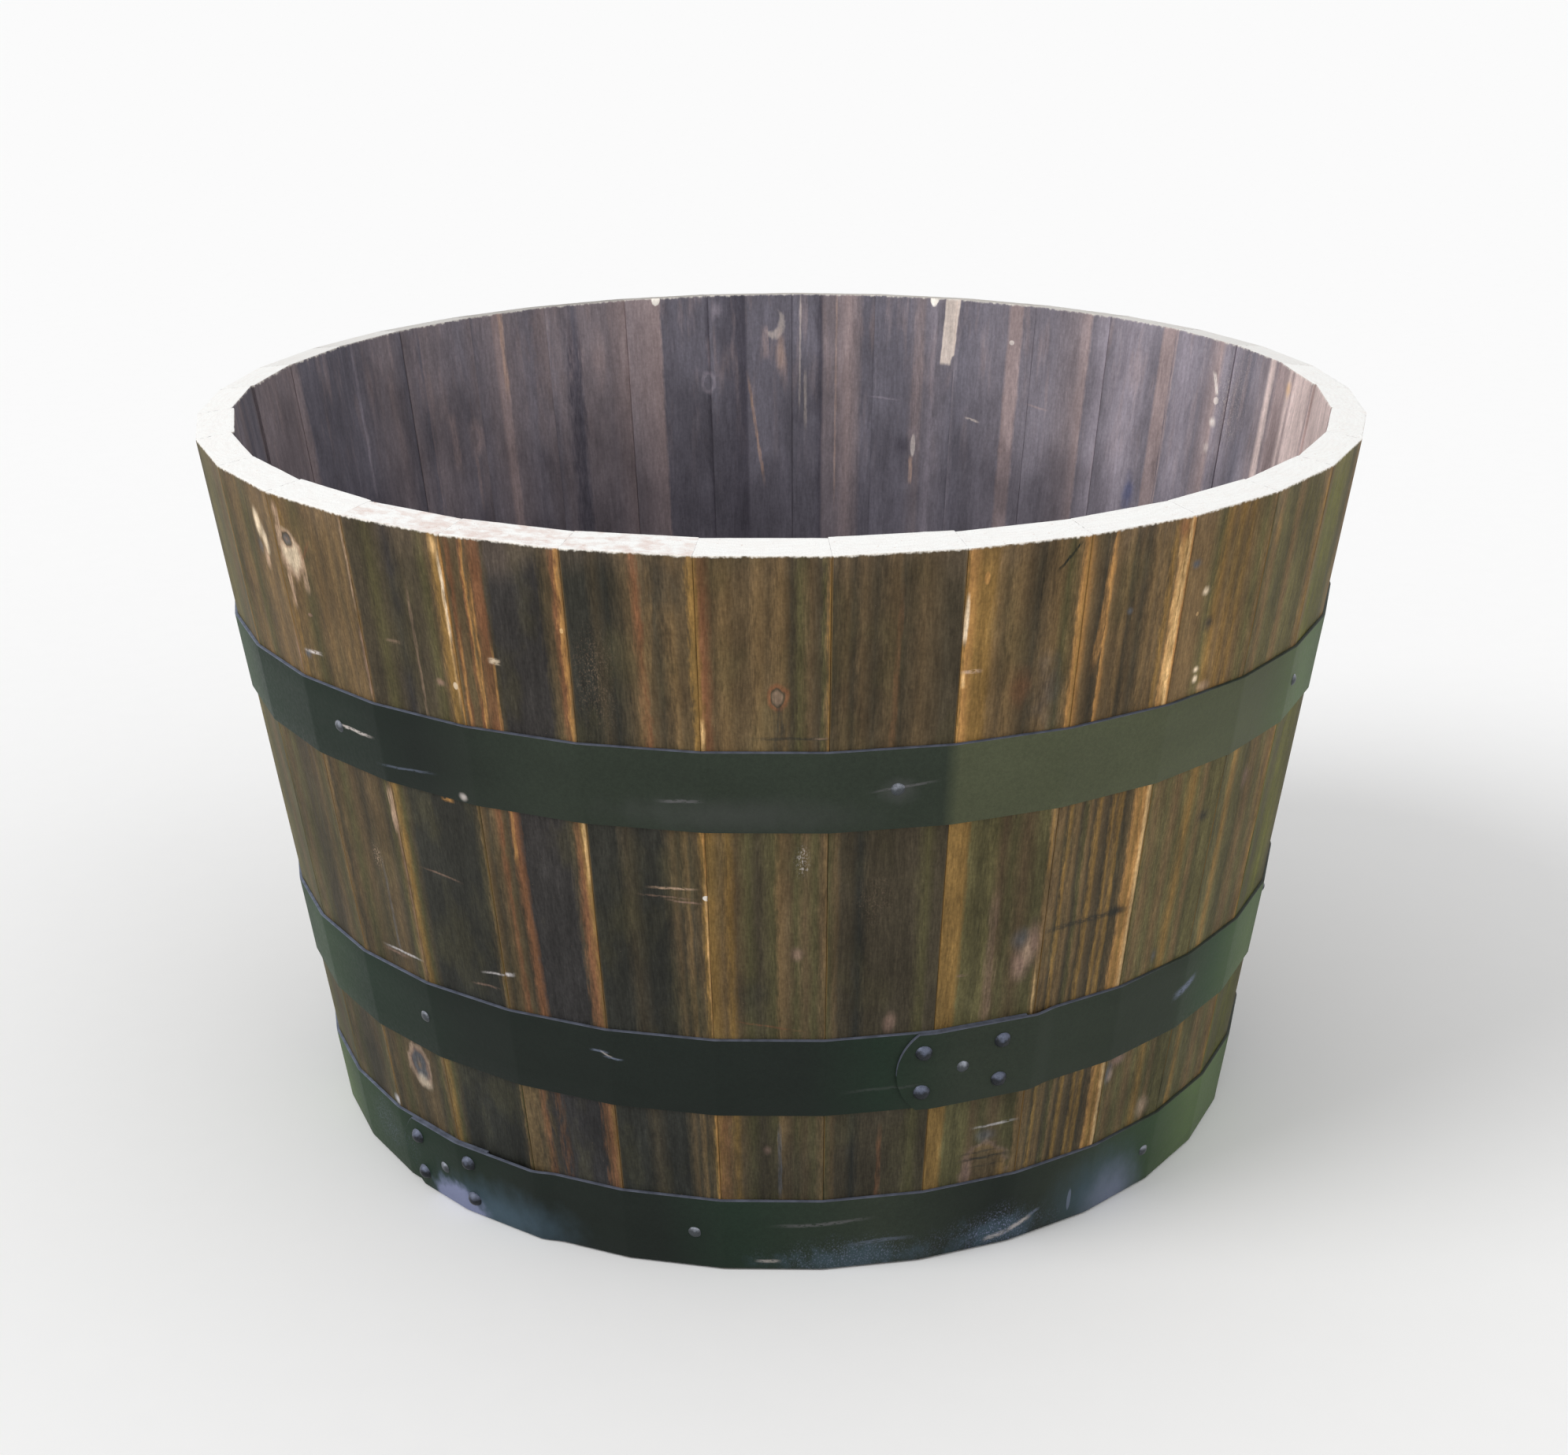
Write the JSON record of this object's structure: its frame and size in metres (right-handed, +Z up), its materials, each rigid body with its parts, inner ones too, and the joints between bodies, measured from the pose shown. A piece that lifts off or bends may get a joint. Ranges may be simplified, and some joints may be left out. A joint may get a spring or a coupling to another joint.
{
  "type": "barrel planter",
  "caption": "Round half-barrel tub planter of tapered wooden staves held by riveted steel hoops, open at the top, with a boarded floor that has drain holes.",
  "frame": {"origin": "centre of the tub's foot, on the ground", "axes": "+Z up along the tub's axis; -Y is the front, with the middle hoop's lap a little towards +X of it"},
  "size_m": [0.639, 0.6391, 0.4001],
  "materials": {
    "stave_umber": "scorched and stained, satin",
    "stave_olive": "scorched and stained, satin",
    "stave_brown": "scorched and stained, satin",
    "stave_golden": "scorched and stained, satin",
    "stave_moss": "scorched and stained, satin",
    "stave_russet": "scorched and stained, satin",
    "stave_dark": "scorched and stained, satin",
    "hoop_paint": "dark green-black paint, satin",
    "fastener_steel": "worn paint over steel",
    "head_wood": "stained, dull",
    "dowel_wood": "plain"
  },
  "bodies": {
    "root": {"stave_01": "stave_golden", "stave_02": "stave_dark", "stave_03": "stave_brown", "stave_04": "stave_russet", "stave_05": "stave_olive", "stave_06": "stave_moss", "stave_07": "stave_umber", "stave_08": "stave_golden", "stave_09": "stave_dark", "stave_10": "stave_brown", "stave_11": "stave_russet", "stave_12": "stave_olive", "stave_13": "stave_moss", "stave_14": "stave_umber", "stave_15": "stave_golden", "stave_16": "stave_dark", "stave_17": "stave_brown", "stave_18": "stave_russet", "stave_19": "stave_olive", "stave_20": "stave_moss", "stave_21": "stave_umber", "stave_22": "stave_golden", "stave_23": "stave_dark", "stave_24": "stave_brown", "stave_25": "stave_russet", "stave_26": "stave_olive", "stave_27": "stave_moss", "stave_28": "stave_umber", "stave_29": "stave_golden", "stave_30": "stave_dark", "stave_31": "stave_brown", "stave_32": "stave_russet", "stave_33": "stave_olive", "top_hoop": "hoop_paint", "middle_hoop": "hoop_paint", "bottom_hoop": "hoop_paint", "top_lap_rivets": "fastener_steel", "middle_lap_rivets": "fastener_steel", "bottom_lap_rivets": "fastener_steel", "top_hoop_nails": "fastener_steel", "middle_hoop_nails": "fastener_steel", "bottom_hoop_nails": "fastener_steel", "head_board_1": "head_wood", "head_board_2": "head_wood", "head_board_3": "head_wood", "head_board_4": "head_wood", "head_board_5": "head_wood", "head_board_6": "head_wood", "head_dowels": "dowel_wood"}
  },
  "joints": []
}
